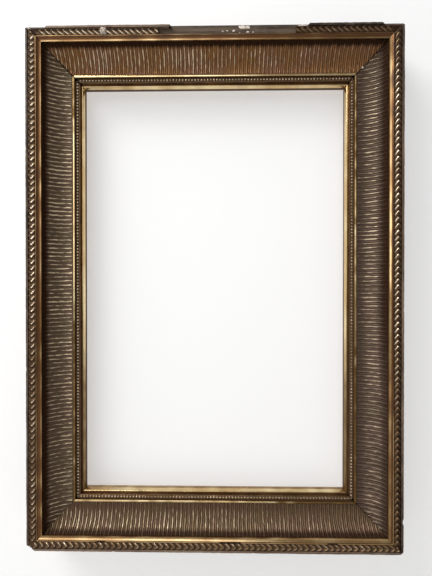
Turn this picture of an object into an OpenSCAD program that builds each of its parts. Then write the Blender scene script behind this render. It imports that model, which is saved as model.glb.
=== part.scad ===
// Wooden picture frame with a deep fluted cove, made of four mitred sides.
// Each side is built up: a pine back rail, a pine cove moulding, and composition, gilt and edge
// strips laid on its front. Two strap hangers with swinging rings hold it on a wall.
// Millimetres, +Z up. The front faces -Y. The origin is the middle of the bottom of the whole box.
// Seen from the front, +X is to the right.

/* [Opening] */
// Width of the opening at the sight edge
sight_w = 406; // [260:1:1000]
// Height of the opening at the sight edge
sight_h = 630; // [420:1:1400]

/* [Pine sides] */
// Thickness of the back rails, which is the depth of the rebate
back_t = 14; // [11:0.5:24]
// Thickness of the cove moulding at its outer edge
moulding_t = 43; // [36:0.5:60]
// How far the back rails stand back from the slip, all round the rebate
rebate_relief = 0.2; // [0:0.1:3]

/* [Edge strip] */
// Width of the thin strip along the outer edge
edge_strip_w = 3.7; // [2:0.1:6]
// Height of the edge strip above the bed
edge_strip_h = 5; // [2:0.1:8]
// Left end of the lost length of the top edge strip, from the middle of the frame
strip_loss_from = -62.5; // [-140:0.5:0]
// Right end of the lost length of the top edge strip
strip_loss_to = 140; // [20:0.5:200]
// Length of the top edge strip that is lost at each mitre
strip_corner_loss = 29.5; // [10:0.5:50]

/* [Leaf strip] */
// Width of the half-round leaf strip
leaf_w = 10.2; // [6:0.1:16]
// Height of the leaf strip above the bed
leaf_h = 7; // [4:0.1:9]
// Narrow gap on each side of the leaf strip
leaf_gap = 0.35; // [0.1:0.05:1]
// Left end of the lost length of the top leaf strip, from the middle of the frame
leaf_loss_from = -82; // [-160:0.5:0]
// Right end of the lost length of the top leaf strip
leaf_loss_to = 122; // [20:0.5:200]

/* [Gilt moulding] */
// Width of the gilt fillet beside the leaves
fillet_w = 1.6; // [0.8:0.1:3]
// Height of the gilt fillet above the bed
fillet_h = 4.5; // [3.5:0.1:6]
// Width of the groove between the fillet and the hollow
gilt_quirk_w = 0.7; // [0.3:0.1:2]
// Height of the groove's floor above the bed
gilt_quirk_h = 3; // [0.5:0.1:3.3]
// Width of the shallow gilt hollow
hollow_w = 6.2; // [4:0.1:9]
// Height of the hollow's outer edge above the bed
hollow_outer_h = 5.3; // [4.5:0.1:8]
// Height of its inner edge, at the cove
hollow_inner_h = 3.2; // [2.2:0.1:4.2]
// Depth of the hollow below a straight line between its edges
hollow_sag = 0.2; // [0.05:0.05:0.6]

/* [Fluted cove] */
// Width of the cove across the face of the frame
cove_w = 38.9; // [26:0.1:60]
// Height of the reed crests over the bed at the outer end of the cove
cove_head_h = 1; // [-3:0.1:2]
// Height of the reed crests over the back of the moulding at the inner end of the cove
cove_foot_h = 20.3; // [14:0.1:24]
// Distance from reed to reed
reed_pitch = 6.35; // [4:0.05:12]
// Width of one reed
reed_w = 5.3; // [3:0.05:11]
// How far the reeds stand out of the composition
reed_relief = 1.4; // [0.6:0.05:2]
// Thickness of the composition between the reeds
flute_wall = 2.1; // [1:0.1:4]
// Open joint between the composition of two sides, at the mitre
mitre_gap = 0.5; // [0:0.1:1.5]

/* [Inner members] */
// Width of the gold fillet inside the cove
inner_fillet_w = 2.8; // [1:0.1:5]
// Height of the gold fillet above the reed crests at the foot of the cove
inner_fillet_h = 0.6; // [0:0.1:2]
// Width of the groove between the gold fillet and the pearl strip
inner_quirk_w = 1.8; // [0.6:0.1:4]
// Depth of the bed of the pearl strip below the reed crests at the foot of the cove
pearl_bed_depth = 4.8; // [4:0.1:6]
// Width of the pearl strip
pearl_w = 5.4; // [3:0.1:9]
// Height of the pearl strip above its bed
pearl_h = 3.2; // [1.5:0.1:4]

/* [Slip] */
// Width of the gilt slip at the opening
slip_w = 6.8; // [5:0.1:12]
// Thickness of the slip at the sight edge
sight_edge_t = 4; // [2:0.1:7]
// Height of the slip's ridge above its back
slip_ridge_h = 12.4; // [9:0.1:13.5]
// Distance of the slip's ridge from the sight edge
slip_ridge_w = 2.8; // [1.5:0.1:4]
// Height of the slip's outer side above its back
slip_outer_h = 11.2; // [8:0.1:13]

/* [Corner joints] */
// Length of each side of the triangular corner keys
key_side = 45; // [30:1:60]
// Thickness of the corner keys
key_t = 3; // [1.5:0.1:5]
// Clearance of the keys and nails in the wood
joint_clearance = 0.05; // [0.02:0.01:0.2]
// Radius of the mitre nails
nail_r = 1.2; // [0.8:0.1:2]
// Radius of their heads
nail_head_r = 2.6; // [2.2:0.1:3.5]
// Length of the mitre nails
nail_l = 50; // [40:1:60]
// Depth at which the nail heads are sunk below the sides
nail_sink = 0.8; // [0.2:0.1:3]
// Radius of the headless pins in the edge strips
pin_r = 0.6; // [0.4:0.1:0.8]
// Length of these pins
pin_l = 15; // [10:0.5:25]

/* [Knocked corner] */
// Length knocked off the bottom left corner, along the bottom
knock_x = 14; // [4:0.5:16]
// Length knocked off along the left side
knock_z = 10; // [4:0.5:14]
// Depth of the damage, from the front
knock_depth = 36; // [20:0.5:40]

/* [Hangers] */
// Height of the ring pivots above the bottom of the frame
hanger_z = 540; // [300:1:600]
// Width of a hanger strap
strap_w = 12; // [9:0.5:14]
// Length of a hanger strap below the pivot
strap_l = 44; // [38:0.5:60]
// Thickness of the strap
strap_t = 1.2; // [0.8:0.1:1.3]
// Distance of the pivot from the back of the frame
pivot_y = 3; // [3:0.1:5]
// Radius of the ring's wire
wire_r = 1.4; // [1:0.1:1.5]
// Clearance of the wire in the strap's eye
wire_clearance = 0.1; // [0.05:0.05:0.3]
// Outer radius of the strap's eye
eye_r = 2.7; // [2.4:0.1:2.9]
// Half of the ring's width, at the middle of the wire
ring_half_w = 11.5; // [10:0.5:16]
// Length of the ring from pivot to the middle of its far end
ring_l = 19.5; // [18.5:0.5:24]
// Radius of the ring's two corners at the bar
ring_corner_r = 3; // [2.5:0.5:4]
// Radius of the hanger screws
screw_r = 1.7; // [1.2:0.1:2.2]
// Length of the hanger screws in the wood
screw_l = 9; // [7:0.5:10]
// Radius of their round heads
screw_head_r = 3.4; // [2.8:0.1:3.8]
// Height of their round heads
screw_head_h = 1.8; // [1:0.1:2]
// Distance from the pivot to the upper screw
screw_from_pivot = 11; // [9:0.5:12]
// Distance between the two screws of a hanger
screw_spacing = 25; // [16:0.5:26]

/* [Hidden] */
$fn = 96;

// The four sides, in the order in which a turn of 90 degrees brings one onto the next
BOTTOM = 0;
RIGHT = 1;
TOP = 2;
LEFT = 3;

// Places across a side, from its outer edge towards the opening
leaf_u = edge_strip_w + leaf_gap;
gilt_u = leaf_u + leaf_w + leaf_gap;
gilt_quirk_u = gilt_u + fillet_w;
hollow_u = gilt_quirk_u + gilt_quirk_w;
cove_u = hollow_u + hollow_w;
cove_foot_u = cove_u + cove_w;
inner_quirk_u = cove_foot_u + inner_fillet_w;
pearl_u = inner_quirk_u + inner_quirk_w;
slip_u = pearl_u + pearl_w;
moulding_w = slip_u + slip_w;
rebate_u = slip_u - rebate_relief;

// Heights above the back of the frame
bed_v = back_t + moulding_t;
cove_foot_v = back_t + cove_foot_h;
cove_head_v = bed_v + cove_head_h;
pearl_bed_v = cove_foot_v - pearl_bed_depth;
inner_fillet_v = cove_foot_v + inner_fillet_h;
front_v = bed_v + max(hollow_outer_h, leaf_h, edge_strip_h);

// The gilt hollow is an arc through both its edges
hollow_drop = hollow_outer_h - hollow_inner_h;
hollow_chord = norm([hollow_w, hollow_drop]);
hollow_r = (hollow_chord * hollow_chord / 4 + hollow_sag * hollow_sag) / (2 * hollow_sag);

// The cove is an arc through head and foot, level at the foot
cove_drop = cove_head_v - cove_foot_v;
crest_r = (cove_w * cove_w + cove_drop * cove_drop) / (2 * cove_drop);
cove_centre_v = cove_foot_v + crest_r;
groove_r = crest_r + reed_relief;
pine_cove_r = groove_r + flute_wall;
reed_r = (reed_w * reed_w / 4 + reed_relief * reed_relief) / (2 * reed_relief);

// The whole frame
frame_w = sight_w + 2 * moulding_w;
frame_h = sight_h + 2 * moulding_w;
hanger_x = (frame_w - rebate_u) / 2;
hanger_depth = pivot_y + eye_r;
back_y = (front_v - hanger_depth) / 2;

// Mitre nails cross at each corner: one enters the stile's side, the other the rail's
side_nail_z = 20;
side_nail_v = back_t + 16;
rail_nail_x = 28;
rail_nail_v = back_t + 10;
nail_head_t = 1.2;

// Ends of the top edge strip are broken off aslant
strip_slant = 3;

// Pins of an edge strip: from its corners, from the ends of a remnant, and from the end that broke at a pin
pin_from_corner = 60;
pin_from_end = 18;
pin_from_break = 6;

// How far a cutting shape runs past what it cuts
cut = 1;

pine = [0.72, 0.58, 0.40];
dark_pine = [0.34, 0.30, 0.27];
bronze = [0.36, 0.27, 0.19];
gilt = [0.72, 0.56, 0.32];
key_wood = [0.55, 0.42, 0.28];
iron = [0.30, 0.29, 0.28];
brass = [0.70, 0.55, 0.28];

function side_length(side) = side % 2 == 0 ? frame_w : frame_h;
function side_reach(side) = side % 2 == 0 ? frame_h / 2 : frame_w / 2;

// Puts a side in place. In its own axes +X runs along it, anticlockwise as seen from the front,
// +Y runs from the outer edge to the opening and +Z from the back to the front.
module place(side)
    translate([0, back_y, frame_h / 2])
        rotate([90, 0, 0])
            rotate([0, 0, 90 * side])
                translate([0, -side_reach(side), 0])
                    children();

// Puts a piece at a corner, in the axes of the bottom left one: +X and +Y run inwards, +Z forwards
module at_corner(right, top)
    translate([(right - 0.5) * frame_w, back_y, top * frame_h])
        mirror([right, 0, 0])
            mirror([0, 0, top])
                rotate([90, 0, 0])
                    children();

// A straight bar of the section that it is given, along X
module bar(length)
    translate([-length / 2, 0, 0])
        rotate([90, 0, 90])
            linear_extrude(length)
                children();

// What is left of a side between its two mitres, cut back by gap
module mitre_prism(side, gap = 0) {
    half = side_length(side) / 2 - gap;
    linear_extrude(front_v + cut)
        polygon([[-half, 0], [half, 0], [half - moulding_w, moulding_w], [-half + moulding_w, moulding_w]]);
}

// A mitred length of moulding on one side, of the section that it is given
module mitred(side)
    place(side)
        intersection() {
            bar(side_length(side)) children();
            mitre_prism(side);
        }

// The part of a side from one place along it to another
module span(from, to)
    translate([from, -cut, -cut])
        cube([to - from, moulding_w + 2 * cut, front_v + 2 * cut]);

// What is knocked off the bottom left corner: the space outside a slanting plane
module knocked_off() {
    normal = [1 / knock_x, 1 / knock_z, -1 / knock_depth];
    reach = 120;
    at_corner(0, 0)
        translate([knock_x, 0, front_v])
            rotate([0, acos(normal.z / norm(normal)), atan2(normal.y, normal.x)])
                translate([-reach / 2, -reach / 2, -reach])
                    cube(reach);
}

// Sections across a side: x from the outer edge, y from the back

module back_rail_section()
    square([rebate_u, back_t]);

module cove_circle(r)
    translate([cove_foot_u, cove_centre_v])
        circle(r, $fn = 180);

module cove_moulding_section()
    difference() {
        polygon([
            [0, back_t], [slip_u, back_t], [slip_u, pearl_bed_v], [inner_quirk_u, pearl_bed_v],
            [inner_quirk_u, inner_fillet_v], [cove_foot_u, inner_fillet_v],
            [cove_foot_u, bed_v + cut], [cove_u, bed_v + cut], [cove_u, bed_v], [0, bed_v]
        ]);
        intersection() {
            cove_circle(pine_cove_r);
            translate([cove_u, back_t]) square([cove_w, front_v]);
        }
    }

module leaf_section()
    intersection() {
        half_w = leaf_w / 2;
        arc_r = (half_w * half_w + leaf_h * leaf_h) / (2 * leaf_h);
        translate([leaf_u + half_w, bed_v + leaf_h - arc_r]) circle(arc_r);
        translate([leaf_u, bed_v]) square([leaf_w, leaf_h]);
    }

module gilt_section() {
    middle = [hollow_u + hollow_w / 2, bed_v + (hollow_outer_h + hollow_inner_h) / 2];
    forwards = [hollow_drop, hollow_w] / hollow_chord;
    over_hollow_v = bed_v + hollow_outer_h + cut;
    difference() {
        polygon([
            [gilt_u, bed_v], [cove_u, bed_v], [cove_u, over_hollow_v], [hollow_u, over_hollow_v],
            [hollow_u, bed_v + gilt_quirk_h], [gilt_quirk_u, bed_v + gilt_quirk_h],
            [gilt_quirk_u, bed_v + fillet_h], [gilt_u, bed_v + fillet_h]
        ]);
        intersection() {
            translate(middle + forwards * (hollow_r - hollow_sag)) circle(hollow_r, $fn = 180);
            translate([hollow_u - gilt_quirk_w / 2, bed_v]) square([hollow_w + gilt_quirk_w, front_v]);
        }
    }
}

module pearl_section()
    intersection() {
        half_w = pearl_w / 2;
        arc_r = (half_w * half_w + pearl_h * pearl_h) / (2 * pearl_h);
        translate([pearl_u + half_w, pearl_bed_v + pearl_h - arc_r]) circle(arc_r);
        translate([pearl_u, pearl_bed_v]) square([pearl_w, pearl_h]);
    }

module slip_section()
    polygon([
        [slip_u, back_t], [moulding_w, back_t], [moulding_w, back_t + sight_edge_t],
        [moulding_w - slip_ridge_w, back_t + slip_ridge_h], [slip_u, back_t + slip_outer_h]
    ]);

// Nails, keys, pins and screws, each with a clearance that is 0 for the piece and more for its hole

module nail(clearance) {
    cylinder(h = nail_l + clearance, r = nail_r + clearance);
    translate([0, 0, -clearance]) cylinder(h = nail_head_t + clearance, r = nail_head_r + clearance);
}

module corner_nails(clearance) {
    translate([nail_sink, side_nail_z, side_nail_v]) rotate([0, 90, 0]) nail(clearance);
    translate([rail_nail_x, nail_sink, rail_nail_v]) rotate([-90, 0, 0]) nail(clearance);
}

// The way in over a sunk nail head
module nail_mouths(clearance) {
    translate([-cut, side_nail_z, side_nail_v])
        rotate([0, 90, 0]) cylinder(h = nail_sink + cut, r = nail_head_r + clearance);
    translate([rail_nail_x, -cut, rail_nail_v])
        rotate([-90, 0, 0]) cylinder(h = nail_sink + cut, r = nail_head_r + clearance);
}

module corner_key_shape(clearance)
    translate([0, 0, (back_t - key_t) / 2 - clearance])
        linear_extrude(key_t + 2 * clearance)
            polygon([[0, 0], [key_side + 2 * clearance, 0], [0, key_side + 2 * clearance]]);

module each_corner()
    for (right = [0, 1], top = [0, 1])
        at_corner(right, top) children();

// Places along a side of the pins in its edge strip
function pin_places(side) =
    side == TOP
        ? [-strip_loss_from + pin_from_break, frame_w / 2 - strip_corner_loss - pin_from_end,
           -strip_loss_to - pin_from_end, -frame_w / 2 + strip_corner_loss + pin_from_end]
        : [-side_length(side) / 2 + pin_from_corner, 0, side_length(side) / 2 - pin_from_corner];

module strip_pins(side, clearance)
    place(side)
        for (x = pin_places(side))
            translate([x, edge_strip_w / 2, bed_v + edge_strip_h - pin_l])
                cylinder(h = pin_l + clearance, r = pin_r + clearance, $fn = 24);

// A hanger in place on the right or the left, with its pivot at the origin and +Y to the rear
module at_hanger(sign)
    translate([sign * hanger_x, back_y, hanger_z])
        children();

module hanger_screw(clearance) {
    rotate([90, 0, 0]) cylinder(h = screw_l + clearance, r = screw_r + clearance, $fn = 48);
    rotate([-90, 0, 0]) cylinder(h = strap_t + clearance, r = screw_r + clearance, $fn = 48);
}

module screw_pair()
    for (drop = [screw_from_pivot, screw_from_pivot + screw_spacing])
        translate([0, 0, -drop]) children();

// The sub-parts

module back_rail(side)
    color(pine)
        difference() {
            mitred(side) back_rail_section();
            each_corner() corner_key_shape(joint_clearance);
            for (sign = [-1, 1]) at_hanger(sign) screw_pair() hanger_screw(joint_clearance);
        }

module cove_moulding(side)
    color(dark_pine)
        difference() {
            mitred(side) cove_moulding_section();
            each_corner() {
                corner_nails(joint_clearance);
                nail_mouths(joint_clearance);
            }
            strip_pins(side, joint_clearance);
            knocked_off();
        }

module edge_strip_bar()
    translate([0, bed_v]) square([edge_strip_w, edge_strip_h]);

module edge_strip(side)
    color(dark_pine)
        difference() {
            mitred(side) edge_strip_bar();
            strip_pins(side, joint_clearance);
            knocked_off();
        }

// A remnant of the top edge strip, with both ends aslant
module strip_remnant(from, to)
    translate([0, 0, bed_v])
        linear_extrude(edge_strip_h)
            polygon([
                [from, edge_strip_w], [to, edge_strip_w],
                [to - strip_slant, 0], [from + strip_slant, 0]
            ]);

module top_edge_strip()
    color(dark_pine)
        difference() {
            place(TOP) {
                end = frame_w / 2 - strip_corner_loss;
                strip_remnant(-end, -strip_loss_to);
                strip_remnant(-strip_loss_from, end);
            }
            strip_pins(TOP, joint_clearance);
        }

module leaf_strip(side)
    color(bronze)
        difference() {
            mitred(side) leaf_section();
            knocked_off();
        }

module top_leaf_strip()
    color(bronze)
        difference() {
            mitred(TOP) leaf_section();
            place(TOP) span(-leaf_loss_to, -leaf_loss_from);
        }

module gilt_moulding(side)
    color(gilt)
        mitred(side) gilt_section();

// The section along the cove: a plain wall with reeds on it, turned about the cove's axis
module reeded_wall(length) {
    count = floor(length / reed_pitch);
    intersection() {
        translate([crest_r, 0]) square([pine_cove_r - crest_r, length]);
        union() {
            translate([groove_r, 0]) square([flute_wall, length]);
            for (i = [0 : count - 1])
                translate([crest_r + reed_r, length / 2 + (i - (count - 1) / 2) * reed_pitch])
                    circle(reed_r);
        }
    }
}

module fluting(side) {
    length = side_length(side) - 2 * cove_u;
    color(bronze)
        place(side)
            intersection() {
                translate([-length / 2, cove_foot_u, cove_centre_v])
                    rotate([0, 90, 0])
                        rotate([0, 0, -90])
                            rotate_extrude(angle = 90, $fn = 180)
                                reeded_wall(length);
                mitre_prism(side, mitre_gap * sqrt(2) / 2);
                translate([-length / 2 - cut, cove_u, 0]) cube([length + 2 * cut, cove_w, front_v]);
            }
}

module pearl_strip(side)
    color(bronze)
        mitred(side) pearl_section();

module slip(side)
    color(gilt)
        mitred(side) slip_section();

module corner_key(right, top)
    color(key_wood)
        at_corner(right, top) corner_key_shape(0);

module mitre_nails()
    color(iron)
        each_corner() corner_nails(0);

module edge_strip_pins()
    color(iron)
        for (side = [BOTTOM, RIGHT, TOP, LEFT])
            strip_pins(side, 0);

module hanger_strap(sign)
    color(brass)
        at_hanger(sign)
            difference() {
                union() {
                    rotate([-90, 0, 0])
                        linear_extrude(strap_t) {
                            translate([-strap_w / 2, 0]) square([strap_w, strap_l - strap_w / 2]);
                            translate([0, strap_l - strap_w / 2]) circle(strap_w / 2);
                        }
                    translate([-strap_w / 2, pivot_y, 0])
                        rotate([0, 90, 0]) cylinder(h = strap_w, r = eye_r);
                }
                translate([-strap_w, pivot_y, 0])
                    rotate([0, 90, 0]) cylinder(h = 2 * strap_w, r = wire_r + wire_clearance);
                screw_pair() hanger_screw(joint_clearance);
            }

module hanger_screws() {
    slot_w = 0.8;
    slot_depth = 0.7;
    head_base = strap_t;
    color(iron)
        for (sign = [-1, 1])
            at_hanger(sign)
                screw_pair()
                    difference() {
                        union() {
                            hanger_screw(0);
                            translate([0, head_base, 0])
                                rotate([-90, 0, 0]) cylinder(h = screw_head_h, r = screw_head_r, $fn = 48);
                        }
                        translate([-screw_head_r - cut, head_base + screw_head_h - slot_depth, -slot_w / 2])
                            cube([2 * (screw_head_r + cut), slot_depth + cut, slot_w]);
                    }
}

// The ring is a closed wire: a straight bar in the eye, two corners, two sides and a half circle
module hanging_ring(sign) {
    bar_half = ring_half_w - ring_corner_r;
    bend_z = ring_half_w - ring_l;
    side_l = -bend_z - ring_corner_r;
    color(brass)
        at_hanger(sign)
            translate([0, pivot_y, 0]) {
                translate([-bar_half, 0, 0])
                    rotate([0, 90, 0]) cylinder(h = 2 * bar_half, r = wire_r, $fn = 48);
                for (turn = [0, 1])
                    mirror([turn, 0, 0]) {
                        translate([bar_half, 0, -ring_corner_r])
                            rotate([90, 0, 0])
                                rotate_extrude(angle = 90)
                                    translate([ring_corner_r, 0]) circle(wire_r, $fn = 48);
                        translate([ring_half_w, 0, bend_z])
                            cylinder(h = side_l, r = wire_r, $fn = 48);
                    }
                translate([0, 0, bend_z])
                    rotate([90, 0, 0])
                        rotate([0, 0, 180])
                            rotate_extrude(angle = 180)
                                translate([ring_half_w, 0]) circle(wire_r, $fn = 48);
            }
}

back_rail(BOTTOM);  // bottom_back_rail
back_rail(RIGHT);  // right_back_rail
back_rail(TOP);  // top_back_rail
back_rail(LEFT);  // left_back_rail
cove_moulding(BOTTOM);  // bottom_cove_moulding
cove_moulding(RIGHT);  // right_cove_moulding
cove_moulding(TOP);  // top_cove_moulding
cove_moulding(LEFT);  // left_cove_moulding
edge_strip(BOTTOM);  // bottom_edge_strip
edge_strip(RIGHT);  // right_edge_strip
top_edge_strip();
edge_strip(LEFT);  // left_edge_strip
leaf_strip(BOTTOM);  // bottom_leaf_strip
leaf_strip(RIGHT);  // right_leaf_strip
top_leaf_strip();
leaf_strip(LEFT);  // left_leaf_strip
gilt_moulding(BOTTOM);  // bottom_gilt_moulding
gilt_moulding(RIGHT);  // right_gilt_moulding
gilt_moulding(TOP);  // top_gilt_moulding
gilt_moulding(LEFT);  // left_gilt_moulding
fluting(BOTTOM);  // bottom_fluting
fluting(RIGHT);  // right_fluting
fluting(TOP);  // top_fluting
fluting(LEFT);  // left_fluting
pearl_strip(BOTTOM);  // bottom_pearl_strip
pearl_strip(RIGHT);  // right_pearl_strip
pearl_strip(TOP);  // top_pearl_strip
pearl_strip(LEFT);  // left_pearl_strip
slip(BOTTOM);  // bottom_slip
slip(RIGHT);  // right_slip
slip(TOP);  // top_slip
slip(LEFT);  // left_slip
corner_key(0, 0);  // bottom_left_corner_key
corner_key(1, 0);  // bottom_right_corner_key
corner_key(0, 1);  // top_left_corner_key
corner_key(1, 1);  // top_right_corner_key
mitre_nails();
edge_strip_pins();
hanger_strap(-1);  // left_hanger_strap
hanger_strap(1);  // right_hanger_strap
hanger_screws();
hanging_ring(-1);  // left_hanging_ring
hanging_ring(1);  // right_hanging_ring
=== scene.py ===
"""The looks of an old picture frame with a fluted cove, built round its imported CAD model.

Each side has its own coordinates, in metres: t runs along it from its middle, anticlockwise as seen
from the front, u runs inwards from its outer edge, and v forwards from the back of the wood.
"""

import math

import bmesh
import bpy
import numpy as np
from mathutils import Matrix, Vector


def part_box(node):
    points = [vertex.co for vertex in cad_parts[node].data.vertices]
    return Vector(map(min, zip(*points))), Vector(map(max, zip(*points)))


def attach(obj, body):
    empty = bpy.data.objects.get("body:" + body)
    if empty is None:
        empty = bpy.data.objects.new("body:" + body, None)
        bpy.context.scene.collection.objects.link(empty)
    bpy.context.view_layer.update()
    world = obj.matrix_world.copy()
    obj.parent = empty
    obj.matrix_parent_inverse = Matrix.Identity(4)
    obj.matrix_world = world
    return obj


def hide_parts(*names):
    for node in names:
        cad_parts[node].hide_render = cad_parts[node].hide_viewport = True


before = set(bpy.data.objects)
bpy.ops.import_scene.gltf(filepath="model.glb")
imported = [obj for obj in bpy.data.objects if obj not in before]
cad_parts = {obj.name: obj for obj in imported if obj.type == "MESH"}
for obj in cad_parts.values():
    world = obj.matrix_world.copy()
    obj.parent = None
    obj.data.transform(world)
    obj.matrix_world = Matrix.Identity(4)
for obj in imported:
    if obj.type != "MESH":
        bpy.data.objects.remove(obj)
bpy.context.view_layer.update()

MM = 0.001
SIDES = ("bottom", "right", "top", "left")
# How far apart the sides lie in the finishes' coordinates, so that no two share their noise
SIDES_APART = 1.7

# The whole frame, from the CAD model
BACK_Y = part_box("bottom_back_rail")[1].y
WIDTH = 2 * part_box("bottom_back_rail")[1].x
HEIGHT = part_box("left_back_rail")[1].z
HALF = {"bottom": WIDTH / 2, "right": HEIGHT / 2, "top": WIDTH / 2, "left": HEIGHT / 2}
REACH = {"bottom": HEIGHT / 2, "right": WIDTH / 2, "top": HEIGHT / 2, "left": WIDTH / 2}


class Member:
    """Where a member lies in the section of a side, from its CAD node on the bottom side."""

    def __init__(self, node):
        low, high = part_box("bottom_" + node)
        self.u0 = low.z
        self.u1 = high.z
        self.v0 = BACK_Y - high.y
        self.v1 = BACK_Y - low.y
        self.centre = (self.u0 + self.u1) / 2
        self.half = (self.u1 - self.u0) / 2
        self.height = self.v1 - self.v0


STRIP = Member("edge_strip")
LEAF = Member("leaf_strip")
GILT = Member("gilt_moulding")
FLUTE = Member("fluting")
PEARL = Member("pearl_strip")
SLIP = Member("slip")
BED_V = LEAF.v0
FRONT_V = LEAF.v1

# The cove: crests of the reeds, from the head at the gilt moulding to the foot at the gold fillet
FOOT_V = FLUTE.v0 + 3.5 * MM
COVE_DROP = FLUTE.v1 - FOOT_V
COVE_W = FLUTE.u1 - FLUTE.u0
CREST_R = (COVE_W**2 + COVE_DROP**2) / (2 * COVE_DROP)
COVE_V = FOOT_V + CREST_R
REED_RELIEF = 1.4 * MM
WALL = 2.1 * MM
REED_PITCH = 6.35 * MM

# How far short of each mitre its two sides end, and how much more by the foot of the cove
MITRE_GAP = {
    "bottom left": 0.12 * MM, "bottom right": 0.3 * MM, "top right": 0.42 * MM, "top left": 0.6 * MM,
}
MORE_GAP = {
    "bottom left": 0.1 * MM, "bottom right": 0.4 * MM, "top right": 0.6 * MM, "top left": 0.7 * MM,
}
# The corners at the start and the end of each side
CORNERS = {
    "bottom": ("bottom left", "bottom right"),
    "right": ("bottom right", "top right"),
    "top": ("top right", "top left"),
    "left": ("top left", "bottom left"),
}

# Pitches of the cast ornament
LEAF_PITCH = 9.05 * MM
PEARL_PITCH = 4.85 * MM

# What is knocked off the bottom left corner: along the bottom, up the left side and from the front
KNOCK_X = 14 * MM
KNOCK_Z = 10 * MM
KNOCK_DEPTH = 36 * MM

# What is lost from the top side, from left to right in world X, and from each of its corners
LEAF_LOSS = (-82 * MM, 122 * MM)
STRIP_LOSS = (-62.5 * MM, 140 * MM)
STRIP_CORNER_LOSS = 29.5 * MM
STRIP_SLANT = 3 * MM

# Where the lower part of the right side, painted duller as the light falls off, begins and is fully
# reached, in millimetres going down it
DULL_RIGHT = (-20, -200)


# Places, noise and closed meshes


def place(side, t, u, v):
    """World places of points that are given along, across and above a side."""
    inward = u - REACH[side]
    x, z = {
        "bottom": (t, inward),
        "right": (-inward, t),
        "top": (-t, -inward),
        "left": (inward, -t),
    }[side]
    return np.stack([x, BACK_Y - v, HEIGHT / 2 + z], axis=-1)


def waves(seed, size, *axes):
    """Smooth noise over the given axes, mostly from -1 to 1, with swells of about that size."""
    draw = np.random.default_rng(seed)
    total = 0.0
    count = 7
    for _ in range(count):
        heading = draw.normal(size=len(axes))
        heading *= draw.uniform(0.6, 1.6) / np.linalg.norm(heading)
        phase = draw.uniform(0, 2 * math.pi)
        total = total + np.sin(sum(k * a for k, a in zip(heading, axes)) * 2 * math.pi / size + phase)
    return total / math.sqrt(count)


def drawn(seed, unit, low, high):
    """A random number from low to high for each whole number in unit."""
    table = np.random.default_rng(seed).uniform(low, high, 512)
    return table[unit.astype(int) % 512]


def eased(value, low, high):
    """0 below low and 1 above high, with a smooth rise between."""
    share = np.clip((value - low) / (high - low), 0, 1)
    return share * share * (3 - 2 * share)


def band(value, low, first, last, high):
    """1 from first to last, 0 below low and above high, and smooth between."""
    return eased(value, low, first) * (1 - eased(value, last, high))


def varied(t, base, *changes):
    """base, with each change (by, start, stop) made from start to stop along the side, in millimetres."""
    for by, start, stop in changes:
        base = base + by * eased(t / MM, start, stop)
    return base


def rounded(corners):
    """A closed outline of (u, v) points, with each corner (u, v, radius) turned into a short curve."""
    made = []
    steps = 5
    for i, (u, v, radius) in enumerate(corners):
        corner = np.array([u, v])
        if not radius:
            made.append(corner)
            continue
        before = np.array(corners[i - 1][:2]) - corner
        after = np.array(corners[(i + 1) % len(corners)][:2]) - corner
        start = corner + before / np.linalg.norm(before) * radius
        end = corner + after / np.linalg.norm(after) * radius
        for k in np.linspace(0, 1, steps + 1):
            made.append((1 - k) ** 2 * start + 2 * k * (1 - k) * corner + k * k * end)
    return made


def knocked(along, u, across, v):
    """How far along a side the knocked corner reaches, at u and v."""
    rough = 0.5 * MM * waves(71, 5 * MM, u, v)
    return along * (1 - u / across - (FRONT_V - v) / KNOCK_DEPTH) + rough


def mitred(side, u, v, opened=0.0):
    """Lowest and highest t of a side at (u, v), at its mitres and at the knocked corner. opened is the
    share of MORE_GAP by which the gaps are wider."""
    first, last = (MITRE_GAP[corner] + opened * MORE_GAP[corner] for corner in CORNERS[side])
    low = first + u - HALF[side]
    high = HALF[side] - u - last
    if side == "bottom":
        low = np.maximum(low, knocked(KNOCK_X, u, KNOCK_Z, v) - HALF[side])
    if side == "left":
        high = np.minimum(high, HALF[side] - knocked(KNOCK_Z, u, KNOCK_X, v))
    return low, high


def widening(side, u, v):
    """Ends of a piece at mitres that open towards its inner edge."""
    return mitred(side, u, v, 0.2 + 0.8 * eased(u, FLUTE.u0, FLUTE.u1))


def finished(mesh):
    """Joins what lies in one place, drops faces of no area, and turns the faces outwards and smooth."""
    made = bmesh.new()
    made.from_mesh(mesh)
    bmesh.ops.remove_doubles(made, verts=made.verts, dist=0.002 * MM)
    bmesh.ops.dissolve_degenerate(made, edges=made.edges, dist=0.001 * MM)
    bmesh.ops.recalc_face_normals(made, faces=made.faces)
    made.to_mesh(mesh)
    made.free()
    mesh.shade_smooth()
    mesh.set_sharp_from_angle(angle=math.radians(48))


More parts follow.
